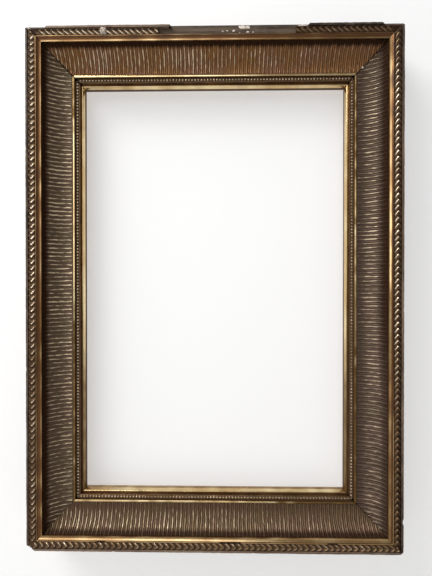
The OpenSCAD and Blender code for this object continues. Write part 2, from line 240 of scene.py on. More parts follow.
def sweep(name, side, rows, outline, shape, ends=mitred):
    """A closed solid along a side. rows are the places of its rings along the side, outline the (u, v)
    points of a ring, and ends the limits of t. shape moves the points and gives each its relief: 1 where
    it is proud or unworn, 0 where it is deep or worn, and some shapes also paint light and shade into it."""
    u, v = (np.tile(np.array(axis), (len(rows), 1)) for axis in zip(*outline))
    low, high = ends(side, u, v)
    t = np.clip(rows.reshape(len(rows), -1), low, high)
    t, u, v, relief = shape(side, t, u, v)
    points = place(side, t, u, v).reshape(-1, 3)
    index = np.arange(t.size).reshape(t.shape)
    after = np.roll(index, -1, axis=1)
    quads = np.stack([index[:-1], index[1:], after[1:], after[:-1]], axis=-1).reshape(-1, 4)
    mesh = bpy.data.meshes.new(name)
    mesh.from_pydata(points.tolist(), [], quads.tolist() + [index[0].tolist(), index[-1].tolist()])
    local = np.stack([t + SIDES.index(side) * SIDES_APART, u, v], axis=-1)
    mesh.attributes.new("local", "FLOAT_VECTOR", "POINT").data.foreach_set("vector", local.ravel())
    mesh.attributes.new("relief", "FLOAT", "POINT").data.foreach_set("value", relief.ravel())
    finished(mesh)
    return linked(name, mesh)


def linked(name, mesh):
    piece = bpy.data.objects.new(name, mesh)
    bpy.context.scene.collection.objects.link(piece)
    return piece


def rows_of(side, step):
    """Places along a side, about a step apart, from end to end."""
    count = int(2 * HALF[side] / step) + 1
    return np.linspace(-HALF[side], HALF[side], count)


# Node trees


def srgb(red, green, blue):
    """A colour written as it looks, from 0 to 255, for a shader."""
    channels = [c / 255 for c in (red, green, blue)]
    return [c / 12.92 if c <= 0.04045 else ((c + 0.055) / 1.055) ** 2.4 for c in channels] + [1.0]


class Tree:
    """The nodes of one material, with a short call for each kind."""

    def __init__(self, name):
        self.material = bpy.data.materials.new(name)
        self.material.use_nodes = True
        self.nodes = self.material.node_tree.nodes
        self.links = self.material.node_tree.links
        self.nodes.clear()

    def put(self, node, socket, value):
        if isinstance(value, bpy.types.NodeSocket):
            self.links.new(value, node.inputs[socket])
        else:
            node.inputs[socket].default_value = value

    def add(self, kind, inputs, output=0, **settings):
        node = self.nodes.new("ShaderNode" + kind)
        for key, value in settings.items():
            setattr(node, key, value)
        for socket, value in inputs.items():
            self.put(node, socket, value)
        return node.outputs[output]

    def math(self, operation, a, b=0.0):
        return self.add("Math", {0: a, 1: b}, operation=operation)

    def total(self, *values):
        made = values[0]
        for value in values[1:]:
            made = self.math("ADD", made, value)
        return made

    def scaled(self, value, factor):
        return self.math("MULTIPLY", value, factor)

    def share(self, value, low, high):
        """A smooth rise from 0 at low to 1 at high."""
        inputs = {0: value, 1: low, 2: high, 3: 0.0, 4: 1.0}
        return self.add("MapRange", inputs, interpolation_type="SMOOTHSTEP")

    def between(self, value, low, high):
        """A number from low to high, as value goes from 0 to 1."""
        return self.add("MapRange", {0: value, 1: 0.0, 2: 1.0, 3: low, 4: high})

    def mix(self, share, a, b):
        """Colour a where share is 0 and colour b where it is 1."""
        return self.add("Mix", {0: share, 6: a, 7: b}, output=2, data_type="RGBA")

    def noise(self, vector, size, detail=4.0, rough=0.55):
        """Noise from about 0.2 to 0.8, with features of that size in metres."""
        inputs = {"Vector": vector, "Scale": 1 / size, "Detail": detail, "Roughness": rough}
        return self.add("TexNoise", inputs)

    def stretched(self, vector, x, y, z):
        return self.add("Mapping", {"Vector": vector, "Scale": (x, y, z)})

    def number(self, name):
        return self.add("Attribute", {}, output=2, attribute_name=name)

    def local(self):
        return self.add("Attribute", {}, output=1, attribute_name="local")

    def own(self):
        """Coordinates in the frame's own axes, for a CAD node."""
        return self.add("TexCoord", {}, output=3)

    def bump(self, height, distance, strength):
        return self.add("Bump", {"Strength": strength, "Distance": distance, "Height": height})

    def surface(self, **inputs):
        """Ends the tree with a Principled shader."""
        named = {key.replace("_", " "): value for key, value in inputs.items()}
        shader = self.add("BsdfPrincipled", named)
        self.links.new(shader, self.nodes.new("ShaderNodeOutputMaterial").inputs["Surface"])
        return self.material


# Finishes


def bronzed_compo(name, body, ruddy, groove, crest, rubbed, rub_from, rough=0.34):
    """Cast composition under bronze powder: dark with dirt and matt in its hollows, rubbed on its crests.
    The shapes also paint shade and light into relief.
    """
    tree = Tree(name)
    at = tree.local()
    relief = tree.number("relief")
    cloud = tree.noise(at, 45 * MM, 3.0)
    mottle = tree.noise(at, 5 * MM, 5.0, 0.62)
    grit = tree.noise(at, 0.9 * MM, 3.0, 0.6)
    tone = tree.mix(tree.share(cloud, 0.38, 0.62), body, ruddy)
    dull = tree.share(mottle, 0.35, 0.7)
    tone = tree.mix(tree.scaled(dull, 0.4), tone, groove)
    clean = tree.share(tree.total(relief, tree.between(mottle, -0.2, 0.2)), 0.05, 0.6)
    tone = tree.mix(clean, groove, tone)
    high = tree.total(relief, tree.between(mottle, -0.3, 0.2), tree.between(cloud, -0.22, 0.22))
    rub = tree.scaled(tree.share(high, rub_from, rub_from + 0.3), rubbed)
    tone = tree.mix(rub, tone, crest)
    height = tree.total(tree.scaled(mottle, 0.8), tree.scaled(grit, 0.35))
    uneven = tree.between(mottle, -0.05, 0.07)
    return tree.surface(
        Base_Color=tone,
        Metallic=tree.between(clean, 0.0, 0.65),
        Roughness=tree.total(tree.between(clean, 0.75, rough), uneven, tree.scaled(rub, -0.04)),
        Specular_IOR_Level=tree.between(clean, 0.08, 0.6),
        Normal=tree.bump(height, 0.18 * MM, 0.8),
    )


def gilt(name, gold, shade, toned, bole):
    """Old gilding under a thin varnish. relief 1 is bright, less is toned, and 0 is worn to the bole. The
    shapes also paint highlights and shade into relief.
    """
    tree = Tree(name)
    at = tree.local()
    relief = tree.number("relief")
    cloud = tree.noise(at, 60 * MM, 3.0)
    smear = tree.noise(tree.stretched(at, 0.16, 1, 1), 3.5 * MM, 4.0, 0.6)
    fleck = tree.noise(at, 1.6 * MM, 4.0, 0.7)
    tone = tree.mix(tree.share(cloud, 0.35, 0.65), gold, shade)
    tone = tree.mix(tree.scaled(tree.share(smear, 0.45, 0.75), 0.5), tone, shade)
    clean = tree.total(relief, tree.between(smear, -0.08, 0.08))
    bright = tree.share(clean, 0.5, 0.9)
    tone = tree.mix(bright, toned, tone)
    worn = tree.between(relief, 0.42, -0.15)
    worn = tree.total(worn, tree.between(fleck, -0.16, 0.28), tree.between(smear, -0.1, 0.12))
    bare = tree.share(worn, 0.2, 0.36)
    tone = tree.mix(bare, tone, bole)
    height = tree.total(tree.scaled(smear, 0.5), tree.scaled(fleck, 0.2), tree.scaled(bare, -0.4))
    rough = tree.total(tree.between(smear, 0.13, 0.21), tree.between(bright, 0.16, 0.0))
    varnish = tree.between(bright, 0.15, 0.6)
    return tree.surface(
        Base_Color=tone,
        Metallic=tree.between(bare, 0.95, 0.2),
        Roughness=tree.total(rough, tree.scaled(bare, 0.25)),
        Coat_Weight=tree.math("MULTIPLY", varnish, tree.between(bare, 1.0, 0.0)),
        Coat_IOR=1.55,
        Coat_Roughness=0.1,
        Normal=tree.bump(height, 0.025 * MM, 0.6),
    )


def grained(tree, at, along):
    """Coarse streaks, fine streaks and pores of wood, from 0 to 1, that run along an axis of at."""
    stretch = [1.0, 1.0, 1.0]
    stretch[along] = 0.045
    streaks = tree.stretched(at, *stretch)
    coarse = tree.noise(streaks, 5 * MM, 4.0, 0.6)
    fine = tree.noise(streaks, 1.1 * MM, 3.0, 0.6)
    pores = tree.noise(tree.stretched(streaks, 2.4, 2.4, 2.4), 1.2 * MM, 2.0, 0.5)
    return coarse, fine, pores


def stained_wood(name, pale, dark, grime):
    """Thin strips of stained wood. relief goes from 0, black with grime, to 1, rubbed pale."""
    tree = Tree(name)
    at = tree.local()
    relief = tree.number("relief")
    coarse, fine, pores = grained(tree, at, 0)
    cloud = tree.noise(at, 30 * MM, 4.0)
    tone = tree.mix(tree.share(coarse, 0.3, 0.7), pale, dark)
    tone = tree.mix(tree.scaled(tree.share(fine, 0.5, 0.75), 0.6), tone, grime)
    clean = tree.total(relief, tree.between(cloud, -0.5, 0.5), tree.between(coarse, -0.2, 0.2))
    tone = tree.mix(tree.share(clean, 0.05, 0.8), grime, tone)
    height = tree.total(coarse, tree.scaled(fine, 0.7), tree.scaled(pores, 0.3))
    return tree.surface(
        Base_Color=tone,
        Roughness=tree.between(coarse, 0.5, 0.75),
        Specular_IOR_Level=0.25,
        Normal=tree.bump(height, 0.25 * MM, 0.8),
    )


def pine(name, along, pale, dark, stain, stained):
    """Old pine of a CAD node, with its grain along axis 0 or 2. stained is how much stain it keeps."""
    tree = Tree(name)
    at = tree.own()
    coarse, fine, pores = grained(tree, at, along)
    cloud = tree.noise(at, 70 * MM, 4.0)
    stretch = [0.02 if axis == along else 1.0 for axis in range(3)]
    rings = tree.noise(tree.stretched(at, *stretch), 14 * MM, 2.0)
    bands = tree.share(tree.math("FRACT", tree.scaled(rings, 9.0)), 0.1, 0.95)
    tone = tree.mix(bands, pale, dark)
    tone = tree.mix(tree.scaled(tree.share(fine, 0.45, 0.75), 0.5), tone, dark)
    wash = tree.total(tree.between(cloud, -0.4, 0.4), tree.between(coarse, -0.15, 0.15))
    tone = tree.mix(tree.share(tree.total(wash, stained), 0.0, 1.0), tone, stain)
    height = tree.total(tree.scaled(bands, 0.5), coarse, tree.scaled(fine, 0.6), tree.scaled(pores, 0.4))
    return tree.surface(
        Base_Color=tone,
        Roughness=tree.between(fine, 0.62, 0.85),
        Normal=tree.bump(height, 0.35 * MM, 0.8),
    )


def moulding_pine(name, along):
    """Pine of the cove moulding: grey on its bare front, stained at its sides, and under the composition
    almost black, as painted shade in the gaps where it shows, but brown below the pearls away from the
    mitres."""
    tree = Tree(name)
    at = tree.own()
    coarse, fine, pores = grained(tree, at, along)
    cloud = tree.noise(at, 24 * MM, 4.0, 0.6)
    x, y, z = (tree.add("SeparateXYZ", {0: at}, output=axis) for axis in range(3))
    height_over_back = tree.math("SUBTRACT", BACK_Y, y)
    from_side = tree.math("SUBTRACT", WIDTH / 2, tree.math("ABSOLUTE", x))
    from_end = tree.math("MINIMUM", z, tree.math("SUBTRACT", HEIGHT, z))
    inward = tree.math("MINIMUM", from_side, from_end)
    bare = tree.mix(tree.share(coarse, 0.3, 0.7), srgb(100, 86, 72), srgb(62, 51, 42))
    bare = tree.mix(tree.scaled(tree.share(fine, 0.5, 0.72), 0.7), bare, srgb(32, 27, 24))
    bare = tree.mix(tree.scaled(tree.share(cloud, 0.52, 0.74), 0.4), bare, srgb(112, 101, 90))
    side = tree.mix(tree.share(coarse, 0.35, 0.7), srgb(92, 66, 43), srgb(52, 36, 24))
    side = tree.mix(tree.scaled(tree.share(cloud, 0.48, 0.7), 0.7), side, srgb(34, 25, 18))
    front = tree.share(height_over_back, BED_V - 1.2 * MM, BED_V - 0.2 * MM)
    tone = tree.mix(front, side, bare)
    covered = tree.share(inward, LEAF.u1 - MM, LEAF.u1 + MM)
    low = tree.share(height_over_back, PEARL.v0 + 1.2 * MM, PEARL.v0 + 0.4 * MM)
    from_mitre = tree.math("ABSOLUTE", tree.math("SUBTRACT", from_side, from_end))
    low = tree.math("MULTIPLY", low, tree.share(from_mitre, 2.5 * MM, 4 * MM))
    # Almost black under the composition: painted shade in the gaps at the mitres
    tone = tree.mix(covered, tone, tree.mix(low, srgb(20, 13, 9), srgb(104, 80, 54)))
    relief = tree.total(coarse, tree.scaled(fine, 0.8), tree.scaled(pores, 0.4))
    return tree.surface(
        Base_Color=tone,
        Roughness=tree.between(coarse, 0.6, 0.85),
        Specular_IOR_Level=tree.between(covered, 0.15, 0.05),
        Normal=tree.bump(relief, 0.4 * MM, 0.9),
    )


def old_metal(name, bright, tarnish, rough):
    """Tarnished brass or iron of a CAD node."""
    tree = Tree(name)
    at = tree.own()
    cloud = tree.noise(at, 6 * MM, 5.0, 0.65)
    fine = tree.noise(at, 0.7 * MM, 3.0)
    tone = tree.mix(tree.share(cloud, 0.38, 0.66), bright, tarnish)
    tone = tree.mix(tree.scaled(tree.share(fine, 0.5, 0.75), 0.5), tone, tarnish)
    return tree.surface(
        Base_Color=tone,
        Metallic=0.85,
        Roughness=tree.between(cloud, rough, rough + 0.3),
        Normal=tree.bump(fine, 0.06 * MM, 0.6),
    )


def gesso(name):
    """Broken white gesso, dusty and cracked."""
    tree = Tree(name)
    at = tree.own()
    cloud = tree.noise(at, 3 * MM, 5.0, 0.65)
    grit = tree.noise(at, 0.6 * MM, 3.0)
    tone = tree.mix(tree.share(cloud, 0.4, 0.75), srgb(222, 212, 200), srgb(150, 128, 112))
    return tree.surface(Base_Color=tone, Roughness=0.85, Normal=tree.bump(grit, 0.2 * MM, 0.8))


# Sub-parts


def dressed(piece, body, slot_name, material, *nodes):
    """Gives a piece its finish and its body, and hides the CAD nodes that it stands for. slot_name is not
    used.
    """
    piece.data.materials.append(material)
    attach(piece, body)
    if nodes:
        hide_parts(*nodes)


def arch(member, count):
    """Points of a rounded section that falls away to its outer and inner edge."""
    points = []
    for w in np.sin(np.linspace(-math.pi / 2, math.pi / 2, count)):
        power = 4 if w < 0 else 2
        rise = (1 - abs(w) ** power) ** 0.5
        points.append((member.centre + member.half * w, member.v0 + member.height * rise))
    return points


# How high the bodies of the leaves stand, compared with their rims
LEAF_BODY = {"bottom": 0.3, "right": 0.22, "top": 0.2, "left": 0.22}
# Where their tips lie, from -1 at the outer edge of the strip to 1 at its inner edge
LEAF_TIP = {"bottom": 0.04, "right": 0.04, "top": -0.2, "left": 0.04}
# How bright their outer part is painted, as painted shade, and from where to where across the strip the
# painted light rises to full
LEAF_SHADE = {
    "bottom": (0.85, -0.75, 0.05), "right": (0.4, -0.35, 0.25),
    "top": (0.42, -0.3, 0.3), "left": (0.62, -0.4, 0.2),
}
# How bright they are painted on each side and along it, as painted light that falls off away from the
# lamps
LEAF_LIGHT_FALLOFF = {
    "bottom": (0.76, (-0.04, -40, 160)), "right": (0.7, (0.28, -220, -60), (-0.26, 260, 370)),
    "top": (1.06, (-0.36, 0, -120)), "left": (0.84, (0.18, 120, -40)),
}
# Distances from a corner over which the top leaves become whole
LEAF_WORN = (12 * MM, 26 * MM)


def leaf_shape(side, t, u, v):
    """Overlapping leaves with a raised rim round a dark hollow. Their tips point along the side. They are
    painted brighter towards the opening and darker towards the outer edge, as painted light and shade."""
    w = (u - LEAF.centre) / LEAF.half
    tip_w = LEAF_TIP[side]
    swept = 0.74 * np.abs(w - tip_w) ** 1.3
    phase = t / LEAF_PITCH + swept + 0.05 * waves(11, 60 * MM, t)
    unit = np.floor(phase)
    q = phase - unit
    q = q + drawn(12, unit, -0.04, 0.04) * np.sin(q * math.pi)
    rim_half = 0.15 + 0.06 * eased(w, tip_w, tip_w + 0.4)
    rim = np.exp(-np.abs((q - 0.68) / rim_half) ** 2.6)
    body = 0.07 + LEAF_BODY[side] * eased(q, 0.0, 0.3) * drawn(13, unit, 0.8, 1.2)
    proud = (body + (1 - body) * rim) * (1 - 0.9 * eased(q, 0.78, 0.95))
    proud = np.clip(proud * drawn(14, unit, 0.88, 1.05) + 0.03 * waves(15, 2.5 * MM, t, u), 0, 1)
    worn = 1 - eased(HALF[side] - np.abs(t), *LEAF_WORN) if side == "top" else 0
    proud = proud * (1 - worn) + 0.3 * worn
    carved = 0.4 * (1 - proud) * (1 - np.abs(w) ** 5)
    lowered = BED_V + (v - BED_V) * (1 - carved)
    painted_shade, shade_to_w, lit_from_w = LEAF_SHADE[side]
    leaf_lighting = painted_shade + (1 - painted_shade) * eased(w, shade_to_w, lit_from_w)
    painted_falloff = varied(t, *LEAF_LIGHT_FALLOFF[side])
    return t, u, lowered, (0.18 + 0.82 * proud) * leaf_lighting * painted_falloff * (1 - 0.72 * worn)


def leaf_strip(name, side, ends, material, *nodes):
    rows = rows_of(side, LEAF_PITCH / 24)
    piece = sweep(name, side, rows, arch(LEAF, 25), leaf_shape, ends)
    dressed(piece, "frame", "bronzed_compo", material, *nodes)


def broken(start, stop, seed):
    """Ends of a length that is broken off at start and stop, given along the side."""

    def ends(side, u, v):
        low, high = mitred(side, u, v)
        jag = 0.9 * MM * waves(seed, 6 * MM, u, v)
        return np.maximum(low, start + jag), np.minimum(high, stop + jag)

    return ends


# Across the gilt moulding: where the fillet ends and where, after the groove, the hollow begins
FILLET_END = 1.6 * MM
HOLLOW_START = 2.3 * MM


def gilt_outline():
    """A rounded fillet beside the leaves, a narrow groove, and a shallow hollow up to the cove."""
    fillet_u = GILT.u0 + FILLET_END
    hollow_u = GILT.u0 + HOLLOW_START
    fillet_v = GILT.v0 + 4.5 * MM
    groove_v = GILT.v0 + 3 * MM
    inner_v = GILT.v0 + 3.2 * MM
    sag = 0.55 * MM
    fillet = rounded([
        (GILT.u0, GILT.v0, 0), (GILT.u0, fillet_v, 0.65 * MM), (fillet_u, fillet_v, 0.75 * MM),
        (fillet_u, groove_v, 0), (hollow_u, groove_v, 0),
    ])
    hollow = []
    for k in np.linspace(0, 1, 15):
        sunk = 4 * sag * k * (1 - k)
        hollow.append((hollow_u + (GILT.u1 - hollow_u) * k, GILT.v1 + (inner_v - GILT.v1) * k - sunk))
    return fillet + hollow + [(GILT.u1, GILT.v0)]


# Where the fillet is chipped, along the bottom side, and how much of it is lost
FILLET_CHIPS = ((-175 * MM, -162 * MM, 0.9), (9 * MM, 41 * MM, 1.0), (169 * MM, 186 * MM, 0.7))

# Where across the gilt moulding a band of painted highlight lies
HIGHLIGHT_BAND = {
    "bottom": (3.8 * MM, 6 * MM), "right": (4.8 * MM, 6.8 * MM),
    "top": (7 * MM, 9 * MM), "left": (7.2 * MM, 9 * MM),
}
# How bright the gilding is painted in that highlight band and outside it, with the changes along the side
HIGHLIGHT_TONE = {
    "bottom": (0.98,), "right": (0.84, (-0.17, -60, -240), (-0.06, 100, 260)),
    "top": (0.72,), "left": (0.62,),
}
OFF_HIGHLIGHT_TONE = {"bottom": (0.6, (0.16, 60, 150)), "right": (0.49,), "top": (0.49,), "left": (0.49,)}
# How much sounder than that the fillet is, and how much darker the groove is painted, as painted shade
FILLET_MORE = {"bottom": (0.14,), "right": (-0.14, (0.4, -60, -240)), "top": (0.14,), "left": (0.14,)}
GROOVE_SHADE = {"bottom": 0.3, "right": 0.1, "top": 0.3, "left": 0.3}


def gilt_shape(side, t, u, v):
    """A slightly uneven moulding with a painted highlight band, a groove darkened as painted shade, and
    chips in the bottom fillet.
    """
    uneven = 0.05 * MM * waves(21 + SIDES.index(side), 60 * MM, t)
    across = u - GILT.u0
    into_groove = FILLET_END + 0.1 * MM
    past_groove = HOLLOW_START + 0.1 * MM
    on_fillet = 1 - eased(across, into_groove, past_groove)
    # lit is a band of painted highlight, and the groove is darkened as painted shade
    first, last = HIGHLIGHT_BAND[side]
    lit = band(across, first - MM, first, last, last + MM)
    groove = band(across, into_groove - 0.3 * MM, into_groove, past_groove, past_groove + 0.8 * MM)
    bright = varied(t, *HIGHLIGHT_TONE[side])
    dull = varied(t, *OFF_HIGHLIGHT_TONE[side])
    wear_and_painted_light = bright * lit + dull * (1 - lit) + 0.06 * waves(23, 50 * MM, t)
    wear_and_painted_light = wear_and_painted_light + varied(t, *FILLET_MORE[side]) * on_fillet - GROOVE_SHADE[side] * groove
    if side == "bottom":
        for start, stop, lost in FILLET_CHIPS:
            chip = band(t, start, start + 3 * MM, stop - 3 * MM, stop) * lost * on_fillet
            uneven = uneven - 1.6 * MM * chip * (1 + 0.3 * waves(24, 3 * MM, t, u)) * (v > GILT.v0 + MM)
            wear_and_painted_light = wear_and_painted_light - 1.6 * chip
    above_bed = eased(v, GILT.v0, GILT.v0 + MM)
    return t, u, v + uneven * above_bed, np.clip(wear_and_painted_light, 0, 1)


def gilt_moulding(side, material):
    piece = sweep("gilt_hollow_" + side, side, rows_of(side, 1.6 * MM), gilt_outline(), gilt_shape)
    dressed(piece, "frame", "gilt", material, side + "_gilt_moulding")


# Places in one pitch of the fluting, from line to line, closer together at the edges of the reed
REED_STEPS = (
    -0.5, -0.44, -0.385, -0.33, -0.285, -0.235, -0.17, -0.09,
    0.0, 0.09, 0.17, 0.235, 0.285, 0.33, 0.385, 0.44,
)


def reed_rows(side, columns):
    """Rings of a fluting for each column across it, which follow the wandering reeds: their places along
    the side and as numbers of reeds."""
    length = 2 * (HALF[side] - FLUTE.u0)
    spare = 4
    count = int(length / REED_PITCH) + spare
    turns = np.concatenate([np.array(REED_STEPS) + i - (count - 1) / 2 for i in range(count)])
    across = np.array([u for u, v in columns])
    turns = turns[:, None] + 0 * across
    seed = 30 + SIDES.index(side)
    wander = 0.05 * waves(seed, 2.7, turns, across / (14 * MM))
    wander = wander + 0.035 * waves(seed + 5, 1.4, turns, across / (7 * MM))
    return (turns + wander) * REED_PITCH, turns


def fluting_outline(count):
    """Columns of the fluting from head to foot on the crests, and back along the pine."""
    head_turn = math.asin(COVE_W / CREST_R)
    front = [
        (FLUTE.u1 - CREST_R * math.sin(a), COVE_V - CREST_R * math.cos(a))
        for a in np.linspace(head_turn, 0, count)
    ]
    pine_r = CREST_R + REED_RELIEF + WALL
    back = [
        (u, COVE_V - math.sqrt(pine_r**2 - (FLUTE.u1 - u) ** 2))
        for u in np.linspace(FLUTE.u1, FLUTE.u0, 7)
    ]
    return front, back


# How high the fine line between two reeds stands, compared with the reeds, and its half width in pitches
LINE_SHARE = {"bottom": 0.7, "right": 0.6, "top": 0.75, "left": 0.4}
LINE_HALF = 0.19
# How dark the painted shade is at the head of each cove, under the gilt moulding, and how many millimetres
# down it goes
HEAD_SHADE = {"bottom": (0.72,), "right": (0.85, (-0.35, *DULL_RIGHT)), "top": (1.0,), "left": (1.0,)}
HEAD_REACH = {"bottom": (7.5,), "right": (13, (-6, *DULL_RIGHT)), "top": (7.5,), "left": (7.5,)}
# How much duller the cove is painted at its foot, as painted shade
FOOT_SHADE = {"bottom": 0.26, "right": 0.16, "top": 0.14, "left": 0.0}
# How bright it is painted along the side, darker to the right and downwards, as painted shade away from
# the light
COVE_LIGHT_FALLOFF = {
    "bottom": (1, (-0.18, -50, 250)), "right": (1, (-0.07, 50, -250)),
    "top": (1, (-0.15, 50, -250)), "left": (1, (-0.07, -50, 250)),
}


def fluting(side, material):
    front, back = fluting_outline(38)
    outline = front + back
    rows, turns = reed_rows(side, outline)

    def shape(side, t, u, v):
        # Rings that the mitre cuts off lie on it, so a reed is found by where it is and not by its ring
        raw = np.array([np.interp(t[:, j], rows[:, j], turns[:, j]) for j in range(t.shape[1])]).T
        reed = np.round(raw)
        off = raw - reed
        arc = CREST_R * np.arcsin(np.clip((FLUTE.u1 - u) / CREST_R, 0, 1))
        half = drawn(40 + SIDES.index(side), reed, 0.29, 0.33) + 0.012 * waves(41, 9 * MM, arc, t)
        line = np.clip(1 - ((0.5 - np.abs(off)) / LINE_HALF) ** 2, 0, 1)
        line = line * LINE_SHARE[side] * drawn(48, np.floor(raw), 0.75, 1.15)
        profile = np.maximum(np.clip(1 - (off / half) ** 2, 0, 1), line)
        end = drawn(42, reed, 0.2, 0.9) * MM
        rise = np.clip((arc - end) / (2.4 * MM), 0, 1)
        profile = profile * np.sqrt(1 - (1 - rise) ** 2)
        battered = 0.9 + 0.1 * waves(43, 16 * MM, t, arc) + drawn(44, reed, -0.08, 0.04)
        proud = np.clip(profile * np.clip(battered, 0.6, 1.0), 0, 1)
        radius = CREST_R + REED_RELIEF * (1 - proud) + 0.05 * MM * (1 + waves(45, 4 * MM, t, arc))
        face = COVE_V - np.sqrt(radius**2 - (FLUTE.u1 - u) ** 2)
        is_front = np.arange(t.shape[1]) < len(front)
        # Painted shade at the head of the cove, under the gilt moulding
        reach = varied(t, *HEAD_REACH[side]) + 1.2 * waves(47, 20 * MM, t)
        painted_shade = 1 - eased(u, FLUTE.u0 + 1.8 * MM, FLUTE.u0 + reach * MM)
        wear_and_painted_light = (0.32 + 0.68 * proud) * (1 - varied(t, *HEAD_SHADE[side]) * painted_shade)
        # Painted shade at the foot of the cove
        wear_and_painted_light = wear_and_painted_light * (1 - FOOT_SHADE[side] * eased(u, FLUTE.u1 - 17 * MM, FLUTE.u1 - 5 * MM))
        # Painted falloff of the light along the side
        wear_and_painted_light = wear_and_painted_light * varied(t, *COVE_LIGHT_FALLOFF[side])
        return t, u, np.where(is_front, face, v), np.where(is_front, np.clip(wear_and_painted_light, 0, 1), 0)

    piece = sweep("fluted_cove_" + side, side, rows, outline, shape, widening)
    dressed(piece, "frame", "bronzed_compo", material, side + "_fluting")


# How bright the ground between the pearls is, and how bright their crests
PEARL_TONES = {"bottom": (0.56, 0.78), "right": (0.4, 0.76), "top": (0.26, 0.88), "left": (0.22, 0.92)}


def pearl_shape(side, t, u, v):
    """A row of pearls near the outer edge, with a plain slope beside it up to the gold step."""
    top = v > PEARL.v0 + 0.01 * MM
    slope = PEARL.v0 + 0.7 * MM + 1.5 * MM * eased(u, PEARL.centre + 0.6 * MM, PEARL.u1)
    row_u = PEARL.u0 + 1.85 * MM
    phase = t / PEARL_PITCH
    unit = np.round(phase)
    radius = drawn(51, unit, 1.6, 1.85) * MM
    along = (phase - unit) * PEARL_PITCH
    dome = np.sqrt(np.clip(radius**2 - along**2 - (u - row_u) ** 2, 0, None))
    ball = PEARL.v0 + 0.55 * MM + dome * 1.4
    made = np.minimum(np.maximum(slope, np.where(dome > 0, ball, 0)), PEARL.v1)
    beside = band(u, row_u + 1.2 * MM, row_u + 2 * MM, PEARL.u1 - 0.7 * MM, PEARL.u1)
    ground, crest = PEARL_TONES[side]
    proud = ground + (crest - ground) * np.clip(dome / (1.4 * MM), 0, 1) + 0.24 * beside
    return t, u, np.where(top, made, v), np.clip(proud, 0, 1)


def pearl_strip(side, material):
    outline = [(PEARL.u0, PEARL.v0)]
    outline += [(u, PEARL.v0 + MM) for u in np.linspace(PEARL.u0, PEARL.u1, 19)]
    outline += [(PEARL.u1, PEARL.v0)]
    piece = sweep("pearls_" + side, side, rows_of(side, PEARL_PITCH / 14), outline, pearl_shape, widening)
    dressed(piece, "frame", "bronzed_compo", material, side + "_pearl_strip")


# How bright the gold fillet is kept, with changes along the side that paint where its highlight lies
GOLD_TONE_AND_HIGHLIGHT = {
    "bottom": (0.8, (-0.34, 40, 180)), "right": (0.74, (-0.26, *DULL_RIGHT), (-0.14, 120, 220)),
    "top": (0.94,), "left": (0.9, (-0.34, -200, -290), (-0.38, -10, 90)),
}


def inner_fillet(side, material):
    """Gesso and gold over the pine fillet at the foot of the cove."""
    coat = 0.14 * MM
    outer = FLUTE.u1 - 0.04 * MM
    inner = FLUTE.u1 + 2.8 * MM + coat
    pine_v = FOOT_V + 0.6 * MM
    half = (inner - outer) / 2
    crown = [
        (outer + half * (1 + w), pine_v + coat + 0.32 * MM * (1 - abs(w) ** 2.6))
        for w in np.linspace(-1, 1, 13)
    ]
    low_v = pine_v - 4.4 * MM
    outline = [(outer, pine_v - 1.2 * MM)] + crown
    outline += [(inner, low_v), (inner - 2 * coat, low_v), (inner - 2 * coat, pine_v - 1.2 * MM)]

    def shape(side, t, u, v):
        kept = varied(t, *GOLD_TONE_AND_HIGHLIGHT[side])
        wear_and_painted_light = kept + 0.08 * waves(61, 40 * MM, t) - 0.5 * eased(pine_v - v, 0.4 * MM, 2.4 * MM)
        return t, u, v + 0.02 * MM * waves(62, 45 * MM, t), np.clip(wear_and_painted_light, 0, 1)

    piece = sweep("gold_fillet_" + side, side, rows_of(side, 2 * MM), outline, shape, widening)
    dressed(piece, "frame", "gilt", material)


def gilt_step(side, material):
    """Gold on the step from the pearls down to the slip."""
    coat = 0.16 * MM
    low_v = SLIP.v1 - 1.1 * MM
    high_v = PEARL.v0 + 1.9 * MM
    outline = [(SLIP.u0, low_v)]
    outline += [(SLIP.u0 + coat, v) for v in np.linspace(low_v, high_v, 5)]
    outline += [(SLIP.u0, high_v)]

    def shape(side, t, u, v):
        wear_and_painted_light = 0.8 + 0.08 * waves(66, 40 * MM, t, v) - 0.25 * eased(v, high_v - 1.5 * MM, high_v)
        return t, u, v, np.clip(wear_and_painted_light, 0, 1)

    piece = sweep("gold_step_" + side, side, rows_of(side, 4 * MM), outline, shape, widening)
    dressed(piece, "frame", "gilt", material)


# How bright the gilding of the slip is, with changes along the side that paint the falloff of the light
SLIP_TONE_AND_FALLOFF = {
    "bottom": (0.79,), "right": (0.93, (-0.36, *DULL_RIGHT)),
    "top": (0.79,), "left": (0.93, (-0.34, 0, 180)),
}
# How far its sight edge stands back from the solid's, and how dark its face there is painted, as painted
# shade
SIGHT_BACK = {"bottom": 1.0 * MM, "right": 1.4 * MM, "top": 0.7 * MM, "left": 1.4 * MM}
SIGHT_SHADE = {"bottom": 0.2, "right": 0.8, "top": 0.8, "left": 0.8}


